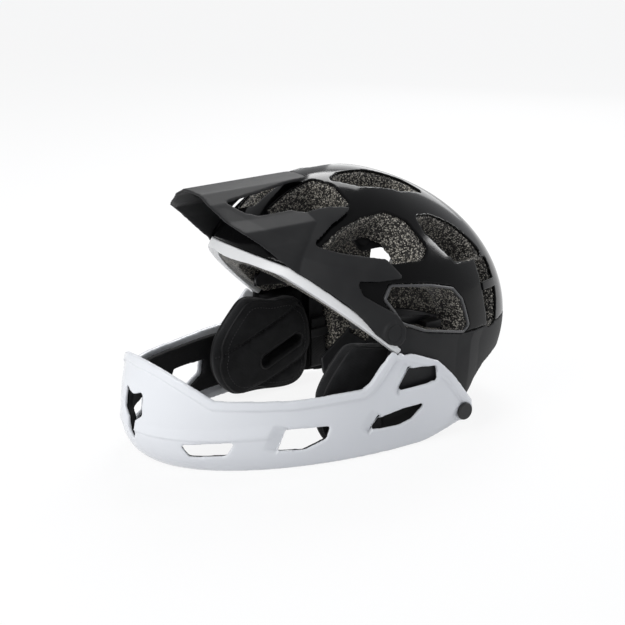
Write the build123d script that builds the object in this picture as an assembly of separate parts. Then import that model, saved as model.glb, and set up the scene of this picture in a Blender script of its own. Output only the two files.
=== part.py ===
from build123d import *
import os
from functools import lru_cache
from math import cos, pi, radians, sin, sqrt

# A downhill cycling helmet with a full face guard. Millimetres, +Z up, the wearer faces -Y,
# +X is the wearer's left. The origin is on the ground under the middle of the bounding box.

# The outer form of the shell: four quarter ellipsoids about one centre, tilted nose up
shell_half_width = 105
shell_front = 120
shell_rear = 168
shell_crown = 114
shell_skirt = 164
shell_tilt = 18
shell_centre_height = 101
shell_wall = 2.0
port_shares = ((-1.2, 0.49), (-0.86, 0.48), (-0.75, 0.43), (-0.115, -0.17))
gloss_shares = ((-1.4, 0.78), (-0.4, 0.18), (-0.117, 0.062), (0.351, -0.149), (1.3, -0.3))
skirt_shares = ((-0.19, -0.55), (-0.15, -0.88), (0.25, -0.94), (0.42, -0.91), (0.46, -0.8))
nape_shares = ((0.52, -0.65), (0.59, -0.545), (0.7, -0.505), (1.3, -0.505))

# The foam liner and the head space inside it
liner_gap = 0.2
liner_side = 25
liner_front = 30
liner_rear = 38
liner_crown = 26
liner_skirt = 24
foam_front_shares = ((-0.15, -0.1), (0.28, -0.1), (0.28, -0.7), (0.32, -0.79), (0.42, -0.78), (0.47, -0.7))
foam_nape_shares = ((0.53, -0.58), (0.6, -0.48), (0.7, -0.455), (1.3, -0.455))

# The chin guard
guard_reach = 200
guard_half_width = 107
guard_rear = 168
guard_height = 95
guard_wall = 3.0
guard_seat = 0.3
lining_wall = 5.0
# Height, half width, reach in front and reach behind of each level
guard_level_shares = (
    (0, 0.92, 0.91, 0.95),
    (0.2, 0.98, 0.99, 0.99),
    (0.47, 1, 1, 1),
    (0.74, 0.995, 0.98, 1),
    (1, 0.977, 0.925, 0.985),
)
guard_shares = (
    (-1.1, -0.13), (-0.945, -0.13), (-0.8, -0.376), (-0.524, -0.406), (-0.235, -0.396), (-0.2, -0.35),
    (-0.1, -0.13), (-0.07, -0.13), (0.024, -0.198), (0.161, -0.297), (0.262, -0.455), (0.369, -0.66),
)
guard_tail_shares = (
    (0.425, -0.76), (0.42, -0.86), (0.36, -0.915), (0.25, -0.955), (0.13, -1.0), (0.1, -1.2), (-1.1, -1.2),
)
lining_shares = (
    (-1.1, -0.2), (-0.93, -0.2), (-0.79, -0.42), (-0.524, -0.45), (-0.245, -0.45), (-0.15, -0.4),
    (-0.13, -0.9), (-1.1, -0.9),
)

# The white trim round the face port
trim_depth = 10
trim_proud = 0.8
trim_width = 8.5
trim_fit = 0.2
trim_lift_shares = ((0, 1), (0.15, 1), (0.62, 0.79), (0.39, 0.45))

# The visor: a ridge section across, an outline in the side view and a gap beside the spine
visor_wall = 2.4
visor_half_width = 108.5
visor_reach = 140
visor_top = 114.5
visor_clearance = 2.0
visor_round = 2.0
visor_edge_round = 3.0
visor_section_shares = (
    (0, 1), (0.111, 0.995), (0.231, 0.939), (0.38, 0.838), (0.5, 0.778), (0.556, 0.664),
    (0.611, 0.454), (0.648, 0),
)
visor_side_shares = (
    (-0.999, 1.328), (-0.999, 0.997), (-0.994, 0.935), (-0.951, 0.843), (-0.898, 0.777),
    (-0.808, 0.69), (-0.643, 0.504), (-0.522, 0.387), (-0.39, 0.243), (-0.306, 0.116), (-0.254, 0.03),
    (-0.197, -0.03), (-0.137, -0.072), (-0.094, -0.074), (-0.062, -0.035), (-0.059, 0.044),
    (-0.087, 0.1), (-0.122, 0.157), (-0.222, 0.236), (-0.306, 0.309), (-0.326, 0.403), (-0.199, 0.387),
    (-0.046, 0.387), (-0.123, 0.524), (-0.273, 0.563), (-0.376, 0.59), (-0.485, 0.638),
    (-0.353, 0.752), (-0.252, 0.809), (-0.191, 0.851), (-0.191, 1.328),
)
visor_gap_shares = (
    (-0.27, -0.046), (-0.27, 0.102), (-0.302, 0.122), (-0.391, 0.122), (-0.622, 0.167),
    (-0.887, 0.213), (-0.803, 0.319), (-0.725, 0.36), (-0.622, 0.359), (-0.519, 0.356),
    (-0.353, 0.433), (-0.199, 0.542), (-0.114, 0.556), (0.114, 0.556), (0.114, -0.046),
)

# The visor's pivots
pivot_shares = (-0.168, 0.026)
pivot_boss = 10.0
pivot_barrel = 5.0
pivot_head = 7.0
pivot_head_thickness = 1.1
pivot_play = 0.05
screw_radius = 2.5
screw_play = 0.1
nut_radius = 4.2
nut_length = 9
washer_radius = 5.4

# The guard's screws
guard_screw_shares = (0.362, -0.822)
guard_screw_head = 7.5
guard_screw_proud = 2.2
guard_boss = 9.0
guard_nut_radius = 8.0
guard_nut_thickness = 2.5

# The vents, each with its size along the shell, its place, its outline and its throat in the foam
vent_round = 4.0
vent_above = 14
vent_below = 20
vent_depth = 42
vent_mouth_share = 0.97
temple_vent_length = 96
temple_vent_height = 56
temple_vent_place_shares = (0.978, 0.127, 0.139)
temple_vent_outline_shares = (
    (-0.96, 0.5), (-0.8, 0.9), (0.04, 0.66), (0.58, 0.4), (0.8, 0), (0.98, -0.9), (0.8, -1.06),
    (-0.17, -0.68), (-0.67, -0.3),
)
temple_vent_throat_share = 0.66
side_vent_length = 100
side_vent_height = 46
side_vent_place_shares = (0.754, -0.093, 0.656)
side_vent_outline_shares = (
    (-1.16, -0.12), (-0.98, 0.3), (-0.62, 0.66), (-0.22, 0.87), (0.26, 0.87), (0.58, 0.4), (0.8, -0.7),
    (0.62, -1.08), (0.16, -1.05), (-0.6, -0.75),
)
side_vent_throat_share = 0.55
side_vent_shift_shares = (-0.25, -0.2)
crown_vent_length = 94
crown_vent_height = 34
crown_vent_place_shares = (0.261, 0.063, 0.963)
crown_vent_outline_shares = (
    (-0.7, 0.35), (-0.4, 0.8), (0.24, 0.85), (0.95, 0.3), (1.25, -0.7), (0.5, -1.1), (-0.3, -0.7),
)
crown_vent_throat_share = 0.6
rear_vent_length = 84
rear_vent_height = 42
rear_vent_place_shares = (0.687, 0.391, 0.525)
rear_vent_outline_shares = (
    (-0.84, 1), (-0.36, 1), (0.22, 0.62), (0.7, 0.05), (1.12, -0.62), (0.42, -0.95), (-0.14, -1),
    (-0.5, -0.38), (-0.8, 0.3),
)
rear_vent_throat_share = 0.6
brow_vent_length = 60
brow_vent_height = 46
brow_vent_place_shares = (0.247, -0.411, 0.893)
brow_vent_outline_shares = (
    (-1, 0.6), (-0.1, 0.74), (0.57, 0.74), (0.85, 0), (0.83, -1.17), (0, -1), (-1, -0.5),
)
brow_vent_throat_share = 0.66
nape_vent_length = 30
nape_vent_height = 64
nape_vent_place_shares = (0.735, 0.615, 0.07)
nape_vent_outline_shares = (
    (-1.05, 0.94), (0.8, 0.88), (0.93, 0), (0.66, -0.88), (-0.4, -0.94), (-0.93, -0.13),
)
nape_vent_throat_share = 0.6
rim_width = 2.2
rim_proud = 0.9
rim_depth = 1.8
bridge_width = 7.0
bridge_place_share = 0.9

# The guard's windows and the chin vent
window_round = 1.6
window_reach = 14
bevel_width = 3.0
bevel_depth = 1.7
chin_window_length = 40
chin_window_height = 15
chin_window_place_shares = (-0.835, -0.78)
chin_window_outline_shares = ((-1.05, 0.4), (1.1, 0.8), (0.75, -0.75), (-0.7, -1.0))
corner_window_length = 42
corner_window_height = 19
corner_window_place_shares = (-0.48, -0.74)
corner_window_outline_shares = ((-0.8, 1.0), (1.0, 0.85), (0.85, -0.25), (0, -1.0), (-1.1, -0.8))
jaw_window_length = 56
jaw_window_height = 16
jaw_window_place_shares = (-0.065, -0.7)
jaw_window_outline_shares = ((-0.95, -0.7), (-0.7, 0.4), (0.2, 0.8), (1.0, 0.9), (0.5, -0.5), (0, -0.9))
cheek_window_length = 42
cheek_window_height = 19
cheek_window_place_shares = (0.045, -0.395)
cheek_window_outline_shares = ((-1.0, -0.8), (-0.45, 0.9), (0.85, 0.6), (0.95, -0.75))
throat_width = 24
throat_height = 44
throat_up_share = -0.585
throat_shares = (
    (-1, 0.95), (0, 0.75), (1, 0.95), (1.1, 0.1), (0.45, -0.15), (0.3, -0.7), (0, -1), (-0.3, -0.7),
    (-0.45, -0.15), (-1.1, 0.1),
)

# Cushions
pad_thickness = 18
pad_inner = 66
pad_slot_length = 46
pad_slot_width = 10
pad_slot_turn = 22
pad_groove = 3.0
pad_groove_share = 0.19
pad_shares = (
    (-0.393, -0.13), (-0.518, -0.297), (-0.61, -0.485), (-0.627, -0.644), (-0.577, -0.832), (-0.485, -0.945),
    (-0.235, -0.968), (0.1, -0.94), (0.14, -0.782), (0.155, -0.505), (0.07, -0.18), (-0.152, -0.14),
)
pad_layer_shares = ((0, 0.93), (0.33, 1), (0.7, 0.985), (0.93, 0.9), (1.08, 0.72), (1.15, 0.45))
pad_middle_share = (-0.22, -0.54)
pad_slot_share = (-0.07, -0.62)
pad_channel_shares = (-0.42, 0.6)
core_gap = 0.3
core_shares = ((-0.075, -0.19), (0.155, -0.16), (0.155, -0.84), (-0.06, -0.84), (-0.14, -0.55))
comfort_thickness = 6.0
brow_pad_shares = (
    (-1.1, 0.52), (-0.82, 0.52), (-0.72, 0.456), (-0.4, 0.167), (-0.335, 0.27), (-0.585, 0.56),
    (-0.65, 0.675), (-1.1, 0.69),
)
crown_strip_shares = ((0, -0.25, 0.45, 0.075), (0.44, -0.12, 0.3, 0.06), (-0.44, -0.12, 0.3, 0.06))
fixing_thickness = 1.0
fixing_radius = 7.0
fixing_gap = 0.1
fixing_spot_shares = (0.22, 0.43)
fixing_along_shares = (0.12, 0.85)

# The nape cradle and its belts
cradle_wall = 2.5
cradle_shares = (
    (0.154, -0.87), (0.237, -0.93), (0.338, -0.87), (0.457, -0.78), (0.8, -0.82), (0.8, -0.39), (0.6, -0.36),
    (0.44, -0.38), (0.285, -0.6), (0.165, -0.74),
)
cradle_slot_shares = ((0.225, -0.82, 0.07, 0.07, 20), (0.42, -0.58, 0.17, 0.1, -35))
nape_pad_shares = (0.12, 0.42, -0.72, -0.46)
belt_gap = 1.0
belt_wall = 1.2
belt_play = 0.4
belt_shares = ((0.5, -0.34), (0.26, -0.03), (-0.29, 0.1), (-0.29, -0.005), (0.24, -0.12), (0.46, -0.45))
belt_anchor_shares = (-0.235, 0.045)
anchor_head = 6.5
anchor_stem = 2.6
anchor_wall = 1.8
anchor_depth = 8

# The dial
dial_up_share = -0.66
dial_radius = 14
dial_thickness = 9
dial_flutes = 14
flute_radius = 1.6
dial_shaft = 2.5
housing_width = 36
housing_height = 25
housing_depth = 13
housing_round = 5
housing_wall = 2.5
pinion_radius = 5.0
pinion_teeth = 10
pinion_tooth = 1.6
pinion_length = 5.0

# Straps
strap_width = 15
strap_thickness = 1.5
strap_gap = 0.3
strap_line_share = 0.76
strap_along_share = 0.22
strap_top_share = -0.1
strap_loop_share = -0.752
strap_fold_share = -0.86
strap_end_share = -0.43
loop_bore = 4.2
ring_wire = 1.4
ring_offset = 2.0
ring_width = 19
ring_drop = 15
keeper_share = -0.56
keeper_wall = 1.5
keeper_height = 8
keeper_play = 0.2
fold_bore = 1.0
anchor_block = 6.5

# One overrun serves all cuts
overrun = 40
nudge_share = 0.001

# Worked out from the sizes above
tilt_angle = radians(shell_tilt)
rear_reach = sqrt((shell_rear * cos(tilt_angle)) ** 2 + (shell_crown * sin(tilt_angle)) ** 2)
centre_y = (guard_reach - rear_reach) / 2
centre = Vector(0, centre_y, shell_centre_height)
tilt = Location((0, centre_y, shell_centre_height), (-shell_tilt, 0, 0))
sky = shell_centre_height + shell_crown + overrun


@lru_cache
def blob(width, front, rear, crown, skirt):
    """Four quarter ellipsoids that meet smoothly, tilted as the shell is."""
    form = None
    for length, turn in ((rear, 0), (front, 180)):
        for height, low, high in ((crown, 0, 90), (skirt, -90, 0)):
            quarter = Sphere(1, arc_size1=low, arc_size2=high, arc_size3=180, align=None)
            quarter = scale(Rot(0, 0, turn) * quarter, by=(width, length, height))
            form = quarter if form is None else form + quarter
    return tilt * form


def shell_form(grow=0):
    return blob(
        shell_half_width + grow,
        shell_front + grow,
        shell_rear + grow,
        shell_crown + grow,
        shell_skirt + grow,
    )


def head_form(grow=0):
    """The head space: the shell's inner form less the liner's thickness on each side."""
    return blob(
        shell_half_width - shell_wall - liner_side + grow,
        shell_front - shell_wall - liner_front + grow,
        shell_rear - shell_wall - liner_rear + grow,
        shell_crown - shell_wall - liner_crown + grow,
        shell_skirt - shell_wall - liner_skirt + grow,
    )


def reach_share(x, y, z, width, front, rear, crown, skirt):
    """How far a point about the centre lies out, as a share of the form's surface."""
    along = cos(tilt_angle) * y - sin(tilt_angle) * z
    up = sin(tilt_angle) * y + cos(tilt_angle) * z
    length = front if along < 0 else rear
    height = crown if up > 0 else skirt
    return sqrt((x / width) ** 2 + (along / length) ** 2 + (up / height) ** 2)


def shell_share(x, y, z):
    return reach_share(x, y, z, shell_half_width, shell_front, shell_rear, shell_crown, shell_skirt)


def shell_plane(shares):
    """A plane on the shell's surface in a direction given as shares, with its x axis to the rear."""
    wide, along, up = shares
    x = wide * shell_half_width
    y = along * (shell_front if along < 0 else shell_rear)
    z = up * (shell_crown if up > 0 else shell_centre_height)
    out = shell_share(x, y, z)
    spot = Vector(x, y, z) / out
    nudge = shell_half_width * nudge_share
    slope = Vector(
        shell_share(spot.X + nudge, spot.Y, spot.Z) - 1,
        shell_share(spot.X, spot.Y + nudge, spot.Z) - 1,
        shell_share(spot.X, spot.Y, spot.Z + nudge) - 1,
    )
    normal = slope.normalized()
    rearward = (Vector(0, 1, 0) - normal * normal.Y).normalized()
    return Plane(origin=centre + spot, x_dir=rearward, z_dir=normal)


def shell_spot(along, up):
    """A place in the side view, as shares of the shell's own sizes about its centre."""
    y = along * (shell_front if along < 0 else shell_rear)
    z = up * (shell_crown if up > 0 else shell_centre_height)
    return centre_y + y, shell_centre_height + z


def guard_spot(along, up):
    """A place in the side view, forward as a share of the guard's reach."""
    y = along * (guard_reach if along < 0 else shell_rear)
    z = up * (shell_crown if up > 0 else shell_centre_height)
    return centre_y + y, shell_centre_height + z


def side_prism(points, rounding=0):
    """An outline in the side view, drawn right through the helmet."""
    face = Polygon(*points, align=None)
    if rounding:
        face = fillet(face.vertices(), rounding)
    return extrude(Plane.YZ * face, amount=shell_half_width + overrun, both=True)


def both_sides(solid):
    return [solid, mirror(solid, Plane.YZ)]


def write(name, solids):
    if not isinstance(solids, (list, tuple)):
        solids = [solids]
    pieces = [piece for solid in solids for piece in solid.solids()]
    export_step(Compound(children=pieces), os.path.join("parts", name + ".step"))


def block(low, high):
    """A box between two corners."""
    size = high - low
    return Location((low + high) / 2) * Box(size.X, size.Y, size.Z)


def rod(radius, start, stop, y, z):
    """A cylinder along X between two distances from the middle plane."""
    plane = Plane(origin=(start, y, z), x_dir=(0, 1, 0), z_dir=(1, 0, 0))
    return plane * extrude(Circle(radius), amount=stop - start)


def above(shares):
    """The part of the side view above a line of places."""
    low = [shell_spot(*share) for share in shares]
    return side_prism([*low, (low[-1][0], sky), (low[0][0], sky)])


def trim_region(width, sag=0):
    """A band along the face port's edge."""
    inner = [shell_spot(*share) for share in port_shares]
    outer = [(y + width * a, z + width * b) for (y, z), (a, b) in zip(inner, trim_lift_shares)]
    inner = [(y, z - sag) for y, z in inner]
    return side_prism(inner + outer[::-1])


class Vent:
    """A vent's outline on the shell, in shares of half its length and height, and its foam throat."""

    def __init__(self, spot, length, height, outline, throat, shift=(0, 0)):
        self.plane = shell_plane(spot)
        self.points = [(length / 2 * u, height / 2 * v) for u, v in outline]
        self.size = (length, height)
        self.throat = throat
        self.shift = shift

    def face(self, grow=0.0, factor=1.0, shift=(0, 0)):
        move = (self.size[0] / 2 * shift[0], self.size[1] / 2 * shift[1])
        outline = Polygon(*[(factor * x + move[0], factor * y + move[1]) for x, y in self.points], align=None)
        outline = fillet(outline.vertices(), vent_round * factor)
        return offset(outline, amount=grow) if grow else outline

    def opening(self, grow=0.0):
        """A straight cutter through the shell."""
        low = self.plane.offset(-vent_below)
        return low * extrude(self.face(grow), amount=vent_below + vent_above, dir=(0, 0, 1))

    def throat_cutter(self):
        """A tapering cutter through the foam."""
        top = self.plane.offset(vent_above) * self.face(factor=vent_mouth_share)
        lip = self.plane.offset(-shell_wall) * self.face(factor=vent_mouth_share)
        end = self.plane.offset(-vent_depth) * self.face(factor=self.throat, shift=self.shift)
        return loft([top, lip, end], ruled=True)


temple_vent = Vent(
    temple_vent_place_shares,
    temple_vent_length,
    temple_vent_height,
    temple_vent_outline_shares,
    temple_vent_throat_share,
)
side_vent = Vent(
    side_vent_place_shares,
    side_vent_length,
    side_vent_height,
    side_vent_outline_shares,
    side_vent_throat_share,
    side_vent_shift_shares,
)
crown_vent = Vent(
    crown_vent_place_shares,
    crown_vent_length,
    crown_vent_height,
    crown_vent_outline_shares,
    crown_vent_throat_share,
)
rear_vent = Vent(
    rear_vent_place_shares,
    rear_vent_length,
    rear_vent_height,
    rear_vent_outline_shares,
    rear_vent_throat_share,
)
brow_vent = Vent(
    brow_vent_place_shares,
    brow_vent_length,
    brow_vent_height,
    brow_vent_outline_shares,
    brow_vent_throat_share,
)
nape_vent = Vent(
    nape_vent_place_shares,
    nape_vent_length,
    nape_vent_height,
    nape_vent_outline_shares,
    nape_vent_throat_share,
)
vents = (temple_vent, side_vent, crown_vent, rear_vent, brow_vent, nape_vent)


def outer_shells():
    """The glossy upper shell and the matte lower shell meet at a step line along the sides."""
    skin = (shell_form() - shell_form(-shell_wall)) & above(port_shares + skirt_shares + nape_shares)
    skin -= trim_region(trim_width)
    for vent in vents:
        for cutter in both_sides(vent.opening()):
            skin -= cutter
    for hole in both_sides(pivot_hole()):
        skin -= hole
    for hole in both_sides(guard_hole()):
        skin -= hole
    gloss = above(gloss_shares)
    return skin & gloss, skin - gloss


def pivot_spot():
    return shell_spot(*pivot_shares)


def pivot_hole():
    y, z = pivot_spot()
    return rod(screw_radius + screw_play, shell_half_width - overrun, shell_half_width + overrun, y, z)


def guard_screw_spot():
    return shell_spot(*guard_screw_shares)


def guard_hole():
    y, z = guard_screw_spot()
    return rod(screw_radius + screw_play, shell_half_width - overrun, shell_half_width + overrun, y, z)


def form_half_width(y, z, grow=0.0):
    """The shell's half width at a place in the side view."""
    along = cos(tilt_angle) * (y - centre_y) - sin(tilt_angle) * (z - shell_centre_height)
    up = sin(tilt_angle) * (y - centre_y) + cos(tilt_angle) * (z - shell_centre_height)
    length = (shell_front if along < 0 else shell_rear) + grow
    height = (shell_crown if up > 0 else shell_skirt) + grow
    return (shell_half_width + grow) * sqrt(1 - (along / length) ** 2 - (up / height) ** 2)


def main_liner():
    """The foam liner, with a pocket in front for the cheek pads and a socket for each insert."""
    foam = shell_form(-shell_wall - liner_gap) - head_form()
    foam &= above(port_shares[:3] + foam_front_shares + foam_nape_shares)
    band = shell_form(overrun) - shell_form(-trim_depth - trim_fit)
    foam -= band & trim_region(trim_width + trim_fit, sag=overrun)
    for vent in vents:
        for cutter in both_sides(vent.throat_cutter()):
            foam -= cutter
    y, z = pivot_spot()
    face = form_half_width(y, z)
    floor = face - shell_wall - nut_length - screw_play
    sockets = [rod(nut_radius + screw_play, floor, face + overrun, y, z)]
    y, z = guard_screw_spot()
    face = form_half_width(y, z)
    reach = guard_nut_radius + trim_fit
    sockets.append(rod(reach, face - overrun, face + overrun, y, z))
    y, z = shell_spot(*belt_anchor_shares)
    seat = belt_seat()
    mouth = seat + anchor_depth + anchor_stem
    sockets.append(rod(anchor_stem + screw_play, seat - anchor_depth, mouth, y, z))
    low, high = strap_anchor_corners(screw_play)
    sockets.append(block(low, high))
    for socket in sockets:
        for cutter in both_sides(socket):
            foam -= cutter
    return foam


def face_trim():
    """The white band that covers the shell's and the liner's edge round the face port."""
    band = shell_form(trim_proud) - shell_form(-trim_depth)
    return band & trim_region(trim_width - trim_fit)


def guard_form(inset=0.0):
    """The guard's bowl, lofted through level egg shapes about the shell's centre."""
    sections = []
    for level, wide, front, rear in guard_level_shares:
        side = guard_half_width * wide - inset
        ahead = guard_reach * front - inset
        behind = guard_rear * rear - inset
        arcs = [
            EllipticalCenterArc((0, 0), side, ahead, 180, arc_size=180),
            EllipticalCenterArc((0, 0), side, behind, 0, arc_size=180),
        ]
        face = make_face(arcs)
        sections.append(Plane(origin=(0, centre_y, guard_height * level)) * face)
    return loft(sections)


def guard_half_width_at(y):
    """The guard's half width at its widest level."""
    length = guard_reach if y < centre_y else guard_rear
    return guard_half_width * sqrt(1 - ((y - centre_y) / length) ** 2)


class Window:
    """A window in the guard's wall with a bevelled recess round it."""

    def __init__(self, place, length, height, outline):
        y, z = guard_spot(*place)
        x = guard_half_width_at(y)
        ahead = guard_reach if y < centre_y else guard_rear
        normal = Vector(x / guard_half_width**2, (y - centre_y) / ahead**2, 0).normalized()
        self.plane = Plane(origin=(x, y, z), x_dir=(-normal.Y, normal.X, 0), z_dir=normal)
        self.points = [(length / 2 * u, height / 2 * v) for u, v in outline]

    def cutter(self, grow=0.0, rounding=None):
        face = Polygon(*self.points, align=None)
        face = fillet(face.vertices(), rounding or window_round)
        face = offset(face, amount=grow) if grow else face
        low = self.plane.offset(-window_reach)
        return low * extrude(face, amount=2 * window_reach, dir=(0, 0, 1))

    def bevel(self):
        """The recess: wide at the surface, the window's own size a little way in."""
        face = Polygon(*self.points, align=None)
        face = fillet(face.vertices(), window_round)
        wide = self.plane.offset(bevel_depth) * offset(face, amount=2 * bevel_width)
        narrow = self.plane.offset(-bevel_depth) * face
        return loft([narrow, wide], ruled=True)


windows = (
    Window(chin_window_place_shares, chin_window_length, chin_window_height, chin_window_outline_shares),
    Window(
        corner_window_place_shares, corner_window_length, corner_window_height, corner_window_outline_shares
    ),
    Window(jaw_window_place_shares, jaw_window_length, jaw_window_height, jaw_window_outline_shares),
    Window(cheek_window_place_shares, cheek_window_length, cheek_window_height, cheek_window_outline_shares),
)


def throat():
    """The Y-shaped vent in the middle of the chin."""
    points = [(throat_width / 2 * u, throat_height / 2 * v) for u, v in throat_shares]
    face = Polygon(*points, align=None)
    face = fillet(face.vertices(), window_round)
    z = guard_spot(0, throat_up_share)[1]
    y = centre_y - guard_reach - window_reach
    plane = Plane(origin=(0, y, z), x_dir=(1, 0, 0), z_dir=(0, -1, 0))
    return plane * extrude(face, amount=-3 * window_reach, dir=(0, 0, 1))


def chin_guard():
    """The white guard: an open bowl, thinned where it laps the shell, with windows and two bosses."""
    outline = [guard_spot(*share) for share in guard_shares + guard_tail_shares]
    guard = (guard_form() - guard_form(guard_wall)) & side_prism(outline)
    y, z = guard_screw_spot()
    boss = rod(guard_boss, form_half_width(y, z) - guard_boss, guard_half_width_at(y) - guard_wall / 2, y, z)
    for solid in both_sides(boss):
        guard += solid
    guard -= shell_form(guard_seat)
    guard -= shell_form(trim_proud + guard_seat) & trim_region(trim_width + guard_seat, sag=guard_seat)
    for window in windows:
        for cutter in both_sides(window.cutter()) + both_sides(window.bevel()):
            guard -= cutter
    guard -= throat()
    for hole in both_sides(guard_hole()):
        guard -= hole
    return guard


def guard_lining():
    """The black foam lining inside the guard, open behind the front windows."""
    outline = [guard_spot(*share) for share in lining_shares]
    inset = guard_wall + guard_seat
    lining = (guard_form(inset) - guard_form(inset + lining_wall)) & side_prism(outline)
    lining -= shell_form(guard_seat)
    for window in windows[:2]:
        for cutter in both_sides(window.cutter(grow=bevel_width / 2)):
            lining -= cutter
    return lining - throat()


def visor_spot(along, up):
    """A place in the side view, as shares of the visor's reach and height."""
    return centre_y + visor_reach * along, shell_centre_height + visor_top * up


def visor_form(inset=0.0):
    """The solid under the visor: a peaked ridge that runs back into a form round the shell."""
    right = [(visor_half_width * wide, visor_spot(0, up)[1]) for wide, up in visor_section_shares]
    left = [(-x, z) for x, z in right[:0:-1]]
    face = Polygon(*right, *left, align=None)
    face = fillet(face.vertices(), visor_edge_round)
    if inset:
        face = offset(face, amount=-inset)
    middle = Plane(origin=(0, centre_y, 0), x_dir=(1, 0, 0), z_dir=(0, -1, 0))
    ridge = middle * extrude(face, amount=visor_reach + overrun, dir=(0, 0, 1))
    return ridge + shell_form(visor_clearance + visor_wall - inset)


def visor():
    """The visor: a thin ridge with a middle spine, two lobes and an arm on each side."""
    outline = [visor_spot(*share) for share in visor_side_shares]
    peak = (visor_form() - visor_form(visor_wall)) & side_prism(outline, visor_round)
    points = [(visor_half_width * v, centre_y + visor_reach * u) for u, v in visor_gap_shares]
    gap = Polygon(*points, align=None)
    gap = fillet(gap.vertices(), visor_round)
    for cutter in both_sides(extrude(gap, amount=sky)):
        peak -= cutter
    y, z = pivot_spot()
    inner = pivot_face() - visor_wall + screw_play
    peak &= block(Vector(-visor_half_width, -sky, -sky), Vector(visor_half_width, sky, sky))
    for boss in both_sides(rod(pivot_boss, inner, visor_half_width, y, z)):
        peak += boss
    peak -= shell_form(visor_clearance)
    for pocket in both_sides(rod(washer_radius + visor_wall, inner - overrun, inner, y, z)):
        peak -= pocket
    for hole in both_sides(rod(pivot_barrel + pivot_play, inner - overrun, sky, y, z)):
        peak -= hole
    seat = pivot_face() - pivot_head_thickness - pivot_play
    for recess in both_sides(rod(pivot_head + screw_play, seat, sky, y, z)):
        peak -= recess
    return peak


def pivot_face():
    """How far out the visor's arm reaches at the pivot."""
    return visor_half_width - pivot_play


def visor_screws():
    """Each screw's head lies flush in the arm and its barrel carries the arm."""
    y, z = pivot_spot()
    inner = pivot_face() - visor_wall - screw_play
    screw = rod(pivot_head, pivot_face() - pivot_head_thickness, pivot_face(), y, z)
    screw += rod(pivot_barrel, inner, pivot_face() - pivot_head_thickness / 2, y, z)
    screw += rod(screw_radius, form_half_width(y, z) - shell_wall - nut_length, inner, y, z)
    return both_sides(screw)


def visor_washers():
    """A spacer between the shell and each arm."""
    y, z = pivot_spot()
    inner = pivot_face() - visor_wall - screw_play
    washer = rod(washer_radius, inner - visor_wall, inner, y, z)
    washer -= rod(screw_radius + screw_play, inner - overrun, inner + overrun, y, z)
    washer -= shell_form(pivot_play)
    return both_sides(washer)


def visor_nuts():
    """A brass insert in the liner behind each pivot."""
    y, z = pivot_spot()
    face = form_half_width(y, z) - shell_wall - liner_gap
    nut = rod(nut_radius, face - nut_length + liner_gap, face, y, z)
    nut &= shell_form(-shell_wall - liner_gap)
    nut -= rod(screw_radius + pivot_play, face - overrun, face + overrun, y, z)
    return both_sides(nut)


def guard_screws():
    """The black discs that hold the guard to the shell."""
    y, z = guard_screw_spot()
    face = guard_half_width_at(y)
    head = rod(guard_screw_head, face + screw_play, face + guard_screw_proud, y, z)
    head = chamfer(head.edges().filter_by(GeomType.CIRCLE).sort_by(Axis.X)[-1], guard_screw_proud / 3)
    tip = form_half_width(y, z) - 2 * guard_nut_thickness
    shank = rod(screw_radius, tip, face + guard_screw_proud / 2, y, z)
    return both_sides(head + shank)


def guard_nuts():
    """A flanged nut inside the shell behind each disc."""
    y, z = guard_screw_spot()
    nut = rod(guard_nut_radius, form_half_width(y, z) - 3 * guard_nut_thickness, form_half_width(y, z), y, z)
    nut &= shell_form(-shell_wall - pivot_play) - shell_form(-shell_wall - pivot_play - guard_nut_thickness)
    nut -= rod(screw_radius + pivot_play, shell_half_width - overrun, shell_half_width, y, z)
    return both_sides(nut)


def vent_rims():
    """A bead that lines each temple vent's edge."""
    band = shell_form(rim_proud) - shell_form(-rim_depth)
    ring = temple_vent.opening() - temple_vent.opening(-rim_width)
    return both_sides(band & ring)


def nape_bridges():
    """A bar across each nape vent."""
    band = shell_form(rim_proud) - shell_form(-rim_depth)
    slot = nape_vent.opening()
    plane = nape_vent.plane
    place = plane * Location((0, bridge_width * bridge_place_share, 0))
    bar = place * Box(2 * overrun, bridge_width, 2 * overrun)
    return both_sides(band & slot & bar)


def head_half_width(y, z, grow=0.0):
    """The head space's half width at a place in the side view."""
    along = cos(tilt_angle) * (y - centre_y) - sin(tilt_angle) * (z - shell_centre_height)
    up = sin(tilt_angle) * (y - centre_y) + cos(tilt_angle) * (z - shell_centre_height)
    trimmed = shell_wall - grow
    length = (shell_front - liner_front if along < 0 else shell_rear - liner_rear) - trimmed
    height = (shell_crown - liner_crown if up > 0 else shell_skirt - liner_skirt) - trimmed
    side = shell_half_width - liner_side - trimmed
    return side * sqrt(1 - (along / length) ** 2 - (up / height) ** 2)


def belt_seat():
    """The liner's inner face at the belt anchors."""
    return head_half_width(*shell_spot(*belt_anchor_shares))


def strap_line():
    """Where each strap's outer face hangs, from the middle plane."""
    return shell_half_width * strap_line_share


def strap_spot(up_share):
    """A place along the strap in the side view."""
    return shell_spot(strap_along_share, up_share)


def strap_anchor_corners(grow=0.0):
    """Two corners of the block that holds the strap in the liner's lower face."""
    y, z = strap_spot(strap_top_share)
    half = strap_width / 2 + strap_gap + grow
    x = strap_line()
    low = Vector(x - 2 * strap_thickness - grow, y - half, z - grow * overrun)
    high = Vector(x + anchor_block + grow, y + half, z + anchor_block + grow)
    return low, high


def strap_anchors():
    """The blocks in the liner's lower face that the straps are sewn to."""
    return both_sides(block(*strap_anchor_corners()))


def web(profile):
    """A strap's edge profile, drawn as wide as the webbing."""
    y = strap_spot(0)[0] + strap_width / 2
    plane = Plane(origin=(0, y, 0), x_dir=(1, 0, 0), z_dir=(0, -1, 0))
    return plane * extrude(profile, amount=strap_width, dir=(0, 0, 1))


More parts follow.
